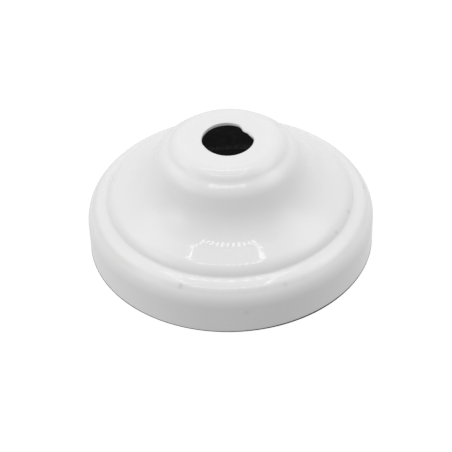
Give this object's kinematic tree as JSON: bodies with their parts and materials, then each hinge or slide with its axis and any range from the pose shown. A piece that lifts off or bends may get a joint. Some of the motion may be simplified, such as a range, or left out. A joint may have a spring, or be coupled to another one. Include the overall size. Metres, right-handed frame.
{
  "type": "ceiling canopy",
  "caption": "Bell-shaped sheet steel canopy with an upright rim, a beaded boss and a central hole, for the ceiling end of a pendant lamp.",
  "frame": {"origin": "centre of the open rim, on the plane of its cut edge, which rests on the surface", "axes": "+Z along the turning axis, from the open rim to the hole in the boss; the canopy is the same all the way round"},
  "size_m": [0.06, 0.06, 0.0254],
  "materials": {
    "white_enamel": "gloss"
  },
  "bodies": {
    "root": {"canopy": "white_enamel"}
  },
  "joints": []
}
